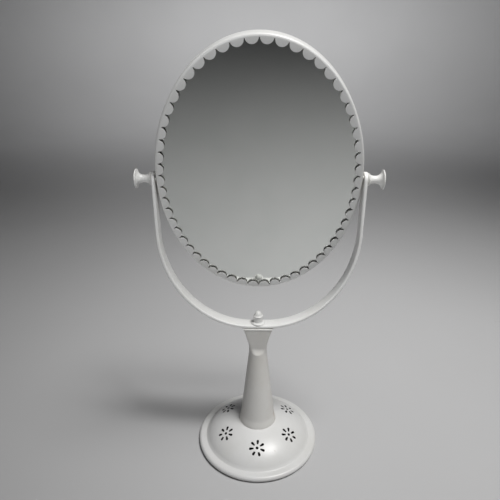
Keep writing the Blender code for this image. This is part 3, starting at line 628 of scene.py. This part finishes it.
def make_hoop(material):
    """The bent strip: band, fold and tabs from one closed section, then tongues and holes."""
    half_steps = even_angles(TAB_CENTRE_INSET, 2 * TAB_COUNT)
    chance = random.Random(5)
    tabs = []
    for i in range(TAB_COUNT):
        tabs.append((half_steps[2 * i], half_steps[2 * i + 1], chance.uniform(-1, 1) * TAB_WOBBLE))
    angles = []
    ends = half_steps[::2] + [2 * math.pi]
    for start, end in zip(ends, ends[1:]):
        angles += [start + (end - start) * i / TAB_POINTS for i in range(TAB_POINTS)]
    r = PAINT_ROUND
    sheet = HOOP_SHEET
    back = HOOP_DEPTH / 2
    corner = HOOP_CORNER
    loops = [band_loop(angles, sheet - r + x, back - r + y)
             for x, y in arc((0, 0), r, r, 0, 90, 3)]
    loops += [band_loop(angles, r + x, back - r + y) for x, y in arc((0, 0), r, r, 90, 180, 3)]
    loops += [band_loop(angles, 0, back * i / 3) for i in (1, -1)]
    loops += [band_loop(angles, corner - x, FRONT_Y + corner - y)
              for x, y in arc((0, 0), corner, corner, 0, 90, 8)]
    loops += [tab_loop(tabs, r * (1 - math.sin(a)), FRONT_Y + r * (1 - math.cos(a)))
              for a in (0, math.pi / 6, math.pi / 3, math.pi / 2)]
    rear = FRONT_Y + TAB_THICKNESS
    loops += [tab_loop(tabs, r * (1 - math.cos(a)), rear - r * (1 - math.sin(a)))
              for a in (0, math.pi / 4, math.pi / 2)]
    inner = corner - sheet
    loops += [band_loop(angles, corner - x, FRONT_Y + corner - y)
              for x, y in arc((0, 0), inner, corner - TAB_THICKNESS, 90, 0, 3)]
    bm = bmesh.new()
    loft(bm, loops, closed=True)
    hoop = link("hoop_strip", finish(bm, "hoop_strip"))
    combine(hoop, link("tongues", tongue_mesh()), "UNION")
    combine(hoop, pivot_drill("hoop_drill", (0, 0, 0)), "DIFFERENCE")
    hoop.data.transform(HEAD_PLACE)
    smooth_again(hoop)
    settle(hoop, "head", "white_paint", material, "hoop")


def tongue_mesh():
    """The eight small rear tongues that hold the back cover."""
    bm = bmesh.new()
    start = HOOP_SHEET / 2
    high = HOOP_DEPTH / 2 - 0.1 * MM
    low = high - TONGUE_THICKNESS
    for angle in even_angles(0, 2 * TONGUE_COUNT)[1::2]:
        root, outward = oval_point(angle, start)
        along = Vector((outward.y, -outward.x))
        tip = root - outward * (TONGUE_LENGTH - start)
        wide = along * TONGUE_WIDTH / 2
        narrow = along * TONGUE_TIP_WIDTH / 2
        outline = fillet([root - wide, root + wide, tip + narrow, tip - narrow], 1.2 * MM)
        loft(bm, [[(x, depth, z) for x, z in outline] for depth in (low, high)], capped=True)
    return finish(bm, "tongues")


def oval_slab(name, inset, front, thickness, edge):
    """A flat oval sheet in the head, with its edges rounded or ground."""
    angles = even_angles(inset, 192)
    loops = []
    for grow, depth in ((edge, front), (0, front + edge), (0, front + thickness - edge),
                        (edge, front + thickness)):
        loops.append(band_loop(angles, inset + grow, depth))
    bm = bmesh.new()
    loft(bm, loops, capped=True)
    bm.transform(HEAD_PLACE)
    return link(name, finish(bm, name))


def make_filling(glass, silver, cover_paint):
    """The glass, its silver back and the back cover."""
    front = FRONT_Y + TAB_THICKNESS + GLASS_GAP
    thickness = GLASS_THICKNESS
    film = FILM_THICKNESS
    slab = oval_slab("glass_plate", GLASS_INSET, front, thickness, 0.2 * MM)
    settle(slab, "head", "silvered_glass", glass, "mirror_glass")
    back = oval_slab("silver_film", GLASS_INSET + 0.1 * MM, front + thickness + film / 4, film, film / 8)
    settle(back, "head", "silvered_glass", silver)
    cover_front = HOOP_DEPTH / 2 - 0.1 * MM - TONGUE_THICKNESS - PIECE_GAP - COVER_THICKNESS
    cover = oval_slab("back_sheet", HOOP_SHEET + PIECE_GAP, cover_front, COVER_THICKNESS, 0.15 * MM)
    settle(cover, "head", "white_paint", cover_paint, "back_cover")


# ---------------------------------------------------------------- pivots


def pivot_place(sign, x):
    """The frame on the tilt axis whose Z axis points out at a side, at a distance out."""
    turn = Matrix.Rotation(sign * math.pi / 2, 4, "Y")
    return Matrix.Translation(PIVOT) @ turn @ Matrix.Translation((0, 0, x))


def knob_outline(length, radius):
    """The spool-shaped knob, its collar at height 0."""
    collar = KNOB_COLLAR_RADIUS
    foot = KNOB_COLLAR_HEIGHT
    rim = KNOB_RIM
    rim_back = length - rim
    waist = foot + (rim_back - foot) * 0.45
    outline = [(0, length), (radius * 0.5, length - 0.1 * MM)]
    outline += arc((radius - rim / 2, length - rim / 2), rim / 2, rim / 2 - 0.12 * MM, 75, -60, 8)
    hollow = radius + 0.4 * MM
    outline += arc((hollow, waist), hollow - KNOB_WAIST_RADIUS, rim_back - waist, 96, 180, 18)
    outline += arc((collar, waist), collar - KNOB_WAIST_RADIUS, waist - foot, 180, 262, 12)[1:]
    outline += arc((collar - 0.3 * MM, foot / 2), 0.3 * MM, foot / 2, 80, -90, 5)
    return outline


def make_pivot(side, sign, paint, steel):
    """One side's knob, friction washer and spacer."""
    low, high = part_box(f"{side}_knob")
    tip = max(abs(low.x), abs(high.x))
    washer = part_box(f"{side}_friction_washer")
    base = max(abs(washer[0].x), abs(washer[1].x)) + PIECE_GAP
    outline = knob_outline(tip - base, high.z - PIVOT.z)
    screw_end = min(abs(low.x), abs(high.x)) - base
    outline += [(1.4 * MM, 0), (1.4 * MM, screw_end), (0, screw_end)]
    knob = link(f"{side}_spool", lathe(f"{side}_spool", outline, closed=False,
                                       place=pivot_place(sign, base), sharp=60))
    settle(knob, f"{side}_knob", "white_paint", paint, f"{side}_knob")
    for name, body, slot, material, node in (
            (f"{side}_clamp_ring", "stand", "white_paint", paint, f"{side}_friction_washer"),
            (f"{side}_spacer", "head", "zinc_steel", steel, f"{side}_spacer_washer")):
        low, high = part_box(node)
        start, end = sorted((abs(low.x), abs(high.x)))
        outer = high.z - PIVOT.z
        ring = [(SCREW_HOLE_RADIUS, 0), (outer, 0), (outer, end - start), (SCREW_HOLE_RADIUS, end - start)]
        mesh = lathe(name, fillet(ring, 0.2 * MM), place=pivot_place(sign, start), sharp=50)
        settle(link(name, mesh), body, slot, material, node)


# ---------------------------------------------------------------- materials


def new_material(name):
    """A new material, its node tree and its shader."""
    material = bpy.data.materials.new(name)
    material.use_nodes = True
    tree = material.node_tree
    return material, tree, tree.nodes["Principled BSDF"]


def add_node(tree, kind, inputs=None, **settings):
    """Add a node with its settings and the values or links of its inputs."""
    node = tree.nodes.new(kind)
    for key, value in settings.items():
        setattr(node, key, value)
    for key, value in (inputs or {}).items():
        if isinstance(value, bpy.types.NodeSocket):
            tree.links.new(value, node.inputs[key])
        else:
            node.inputs[key].default_value = value
    return node


def ramp(tree, source, low, high):
    """Stretch a value from low..high to 0..1."""
    node = add_node(tree, "ShaderNodeMapRange", {"Value": source, "From Min": low, "From Max": high})
    node.clamp = True
    return node.outputs["Result"]


def noise(tree, where, scale, detail=3.0, rough=0.5):
    """A cloud pattern's value at a place."""
    node = add_node(tree, "ShaderNodeTexNoise",
                    {"Vector": where, "Scale": scale, "Detail": detail, "Roughness": rough})
    return node.outputs["Fac"]


def mix_colour(tree, share, first, second):
    """Mix two colours, each a tuple or a socket."""
    node = tree.nodes.new("ShaderNodeMix")
    node.data_type = "RGBA"
    for key, value in (("Factor", share), ("A", first), ("B", second)):
        socket = next(s for s in node.inputs if s.name == key and s.enabled)
        if isinstance(value, bpy.types.NodeSocket):
            tree.links.new(value, socket)
        elif key == "Factor":
            socket.default_value = value
        else:
            socket.default_value = (*value, 1.0)
    return next(s for s in node.outputs if s.enabled)


def multiply(tree, first, second):
    """Multiply two values."""
    node = tree.nodes.new("ShaderNodeMath")
    node.operation = "MULTIPLY"
    for socket, value in zip(node.inputs, (first, second)):
        if isinstance(value, bpy.types.NodeSocket):
            tree.links.new(value, socket)
        else:
            socket.default_value = value
    return node.outputs["Value"]


def mark(tree, where, centre, size, stretch=(1, 1, 1)):
    """1 in a soft spot round a point, 0 outside it."""
    moved = add_node(tree, "ShaderNodeVectorMath", {0: where, 1: centre}, operation="SUBTRACT")
    scaled = add_node(tree, "ShaderNodeVectorMath", {0: moved.outputs[0], 1: stretch}, operation="MULTIPLY")
    length = add_node(tree, "ShaderNodeVectorMath", {0: scaled.outputs[0]}, operation="LENGTH")
    return ramp(tree, length.outputs["Value"], size, size * 0.3)


def enamel(name, clean, aged, roughness, marks=(), peel=0.12):
    """White stove paint: faint orange peel, uneven gloss, painted shade with a little grime in crevices,
    and any small marks.
    """
    material, tree, shader = new_material(name)
    where = add_node(tree, "ShaderNodeTexCoord").outputs["Object"]
    cloud = ramp(tree, noise(tree, where, 22.0, 4.0, 0.6), 0.42, 0.7)
    colour = mix_colour(tree, cloud, clean, aged)
    # Painted shade: the colour turns brown where an occlusion test finds crevices, broken up by a patchy
    # noise; partly grime, partly painted shade.
    crevice = add_node(tree, "ShaderNodeAmbientOcclusion", {"Distance": 0.006}, samples=6)
    shade_and_grime = ramp(tree, crevice.outputs["AO"], 0.75, 0.2)
    patchy = ramp(tree, noise(tree, where, 140.0), 0.3, 0.75)
    shade_and_grime = multiply(tree, multiply(tree, shade_and_grime, patchy), 0.55)
    colour = mix_colour(tree, shade_and_grime, colour, (0.36, 0.31, 0.24))
    specks = ramp(tree, noise(tree, where, 900.0, 1.0), 0.74, 0.8)
    colour = mix_colour(tree, multiply(tree, specks, 0.35), colour, (0.45, 0.41, 0.35))
    for centre, size, stretch, tint, strength in marks:
        spot = multiply(tree, mark(tree, where, centre, size, stretch), strength)
        ragged = multiply(tree, spot, ramp(tree, noise(tree, where, 700.0, 2.0), 0.3, 0.55))
        colour = mix_colour(tree, ragged, colour, tint)
    tree.links.new(colour, shader.inputs["Base Color"])
    gloss = add_node(tree, "ShaderNodeMapRange", {"Value": noise(tree, where, 60.0, 3.0),
                                                  "To Min": roughness - 0.06, "To Max": roughness + 0.1})
    tree.links.new(gloss.outputs["Result"], shader.inputs["Roughness"])
    peel_noise = noise(tree, where, 420.0, 2.0, 0.5)
    bump = add_node(tree, "ShaderNodeBump", {"Strength": peel, "Distance": 0.0002, "Height": peel_noise})
    tree.links.new(bump.outputs["Normal"], shader.inputs["Normal"])
    return material


def clear_glass():
    """Clear float glass with a faint green tint."""
    material, tree, shader = new_material("float_glass")
    where = add_node(tree, "ShaderNodeTexCoord").outputs["Object"]
    haze = ramp(tree, noise(tree, where, 35.0, 5.0), 0.45, 0.85)
    tint = mix_colour(tree, haze, (0.992, 1.0, 0.992), (0.975, 0.988, 0.978))
    tree.links.new(tint, shader.inputs["Base Color"])
    shader.inputs["Transmission Weight"].default_value = 1.0
    shader.inputs["Roughness"].default_value = 0.0
    shader.inputs["IOR"].default_value = 1.5
    return material


def silver_film():
    """The silver behind the glass, slightly clouded in places."""
    material, tree, shader = new_material("silver_film")
    where = add_node(tree, "ShaderNodeTexCoord").outputs["Object"]
    cloud = ramp(tree, noise(tree, where, 18.0, 4.0), 0.4, 0.9)
    colour = mix_colour(tree, cloud, (0.97, 0.975, 0.965), (0.93, 0.94, 0.925))
    tree.links.new(colour, shader.inputs["Base Color"])
    shader.inputs["Metallic"].default_value = 1.0
    shader.inputs["Roughness"].default_value = 0.015
    return material


def zinc_steel():
    """Zinc-plated steel with fine turned marks and dull patches."""
    material, tree, shader = new_material("zinc_plate")
    where = add_node(tree, "ShaderNodeTexCoord").outputs["Object"]
    cloud = ramp(tree, noise(tree, where, 260.0, 4.0), 0.35, 0.7)
    tree.links.new(mix_colour(tree, cloud, (0.62, 0.62, 0.60), (0.44, 0.43, 0.41)),
                   shader.inputs["Base Color"])
    shader.inputs["Metallic"].default_value = 1.0
    gloss = add_node(tree, "ShaderNodeMapRange", {"Value": noise(tree, where, 500.0),
                                                  "To Min": 0.25, "To Max": 0.5})
    tree.links.new(gloss.outputs["Result"], shader.inputs["Roughness"])
    return material


def cast_iron():
    """A rough black casting with a little rust."""
    material, tree, shader = new_material("black_casting")
    where = add_node(tree, "ShaderNodeTexCoord").outputs["Object"]
    rust = ramp(tree, noise(tree, where, 90.0, 6.0, 0.7), 0.55, 0.75)
    tree.links.new(mix_colour(tree, rust, (0.018, 0.018, 0.018), (0.06, 0.03, 0.018)),
                   shader.inputs["Base Color"])
    shader.inputs["Roughness"].default_value = 0.85
    grain = add_node(tree, "ShaderNodeBump", {"Strength": 0.6, "Distance": 0.0005,
                                              "Height": noise(tree, where, 900.0, 5.0, 0.7)})
    tree.links.new(grain.outputs["Normal"], shader.inputs["Normal"])
    return material


def pressed_fibre(name, first, second, scale):
    """Felt or pad: matted fibres with a soft sheen."""
    material, tree, shader = new_material(name)
    where = add_node(tree, "ShaderNodeTexCoord").outputs["Object"]
    stretched = add_node(tree, "ShaderNodeMapping", {"Vector": where, "Scale": (1.0, 3.0, 1.0)})
    fibres = noise(tree, stretched.outputs["Vector"], scale, 6.0, 0.75)
    colour = mix_colour(tree, ramp(tree, fibres, 0.35, 0.7), first, second)
    tree.links.new(colour, shader.inputs["Base Color"])
    shader.inputs["Roughness"].default_value = 0.95
    shader.inputs["Sheen Weight"].default_value = 0.3
    fuzz = add_node(tree, "ShaderNodeBump", {"Strength": 0.5, "Distance": 0.0004, "Height": fibres})
    tree.links.new(fuzz.outputs["Normal"], shader.inputs["Normal"])
    return material


# ---------------------------------------------------------------- stage, light, camera


def make_stage():
    """A round sweep: a flat pale floor that curves up into a plain wall far away."""
    floor_radius, turn, wall = 2.0, 0.8, 2.4
    outline = [(0.0, 0.0), (0.6, 0.0), (1.2, 0.0)]
    outline += arc((floor_radius, turn), turn, turn, -90, 0, 24)
    outline.append((floor_radius + turn, wall))
    sweep = link("floor_sweep", lathe("floor_sweep", outline, 96, closed=False, sharp=180))
    material, tree, shader = new_material("pale_floor")
    where = add_node(tree, "ShaderNodeTexCoord").outputs["Object"]
    cloud = ramp(tree, noise(tree, where, 3.0, 3.0), 0.3, 0.7)
    tree.links.new(mix_colour(tree, cloud, (0.475, 0.475, 0.48), (0.495, 0.495, 0.50)),
                   shader.inputs["Base Color"])
    shader.inputs["Roughness"].default_value = 0.6
    sweep.data.materials.append(material)


def add_light(name, place, aim, size, power, colour, spread=180):
    """One square soft light that points at a place; a grid narrows its beam."""
    data = bpy.data.lights.new(name, "AREA")
    data.energy = power
    data.size = size
    data.spread = math.radians(spread)
    data.color = colour
    lamp = bpy.data.objects.new(name, data)
    bpy.context.scene.collection.objects.link(lamp)
    lamp.location = place
    lamp.rotation_mode = "QUATERNION"
    lamp.rotation_quaternion = (Vector(aim) - Vector(place)).to_track_quat("-Z", "Y")


def make_lights():
    """A soft light overhead and to the right, one for the back wall, a faint fill, a dim sky."""
    add_light("key", (0.55, -0.3, 1.75), (0.12, 0.2, 0.0), 0.6, 4.3, (1.0, 0.995, 0.985), 61)
    add_light("wall_wash", (0.0, 1.0, 2.2), (0.0, 2.8, 0.5), 1.2, 13.5, (1.0, 1.0, 1.0), 90)
    add_light("fill", (-0.45, -1.4, 0.4), (-0.03, 0.0, 0.48), 0.6, 0.52, (0.98, 0.99, 1.0), 36)
    world = bpy.data.worlds.new("studio")
    bpy.context.scene.world = world
    world.use_nodes = True
    sky = world.node_tree.nodes["Background"]
    sky.inputs["Color"].default_value = (0.97, 0.985, 1.0, 1.0)
    sky.inputs["Strength"].default_value = 0.04


def make_camera():
    """A camera a little above the mirror's middle, looking down at the stand."""
    data = bpy.data.cameras.new("camera")
    data.sensor_width = 36.0
    data.lens = 34.2
    camera = bpy.data.objects.new("camera", data)
    bpy.context.scene.collection.objects.link(camera)
    yaw = Matrix.Rotation(math.radians(1.503), 4, "Z")
    pitch = Matrix.Rotation(math.radians(90 - 22.918), 4, "X")
    roll = Matrix.Rotation(math.radians(-0.09), 4, "Z")
    camera.matrix_world = Matrix.Translation((0.00283, -0.41434, 0.40339)) @ yaw @ pitch @ roll
    bpy.context.scene.camera = camera
    bpy.context.scene.view_settings.view_transform = "Standard"


# ---------------------------------------------------------------- the whole


def make_pieces():
    """Every visible piece, and materials on the CAD nodes that stay."""
    front = -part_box("base_dome")[1].x
    base_marks = [
        ((0.0185, front * 0.62, 0.0185), 1.6 * MM, (1, 1, 1), (0.42, 0.38, 0.33), 0.5),
    ]
    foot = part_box("stem")[0].z
    stem_marks = [
        ((0.0187, -0.0045, foot + 9 * MM), 2.4 * MM, (1, 1, 0.45), (0.42, 0.24, 0.17), 0.7),
        ((-0.0065, -0.0172, foot + 16 * MM), 1.6 * MM, (0.6, 1, 1), (0.40, 0.36, 0.32), 0.5),
    ]
    # One white paint in five tones: the base and stem tones are darker as painted shade, the yoke's (also
    # on the saddle) lighter as painted light; the hoop and knob tones lie between.
    base_paint_shaded = enamel("base_enamel_painted_shade", (0.68, 0.68, 0.675), (0.64, 0.638, 0.622), 0.34, base_marks)
    stem_paint_shaded = enamel("stem_enamel_painted_shade", (0.69, 0.68, 0.655), (0.63, 0.61, 0.57), 0.42, stem_marks)
    hoop_paint = enamel("hoop_enamel", (0.73, 0.73, 0.72), (0.69, 0.687, 0.665), 0.36)
    yoke_paint_lit = enamel("yoke_enamel_painted_light", (0.84, 0.84, 0.83), (0.80, 0.797, 0.775), 0.32)
    knob_paint = enamel("knob_enamel", (0.77, 0.77, 0.76), (0.72, 0.717, 0.695), 0.34)
    zinc = zinc_steel()
    iron = cast_iron()
    # Painted shade: a near-black enamel on the holes' walls stands for the shade inside the holes.
    hole_shade_paint = enamel("hole_wall_painted_shade", (0.16, 0.16, 0.15), (0.09, 0.085, 0.08), 0.5)
    make_base(base_paint_shaded, hole_shade_paint)
    make_felt(pressed_fibre("dark_felt", (0.03, 0.03, 0.03), (0.06, 0.06, 0.058), 900.0))
    make_stem(stem_paint_shaded)
    make_saddle(yoke_paint_lit)
    make_yoke(yoke_paint_lit)
    make_finial(knob_paint)
    make_hoop(hoop_paint)
    make_filling(clear_glass(), silver_film(), hoop_paint)
    make_pivot("left", -1, knob_paint, zinc)
    make_pivot("right", 1, knob_paint, zinc)
    pad = pressed_fibre("fibre_pad", (0.42, 0.35, 0.26), (0.50, 0.43, 0.33), 500.0)
    kept = {
        "base_ballast": iron,
        "tie_rod": zinc,
        "tie_rod_washer": zinc,
        "tie_rod_nut": zinc,
        "backing_pad": pad,
        "left_pivot_nut": zinc,
        "right_pivot_nut": zinc,
    }
    for name, material in kept.items():
        node = frame["nodes"][name]
        for slot in node.material_slots:
            slot.material = material


make_camera()
make_stage()
make_lights()
make_pieces()
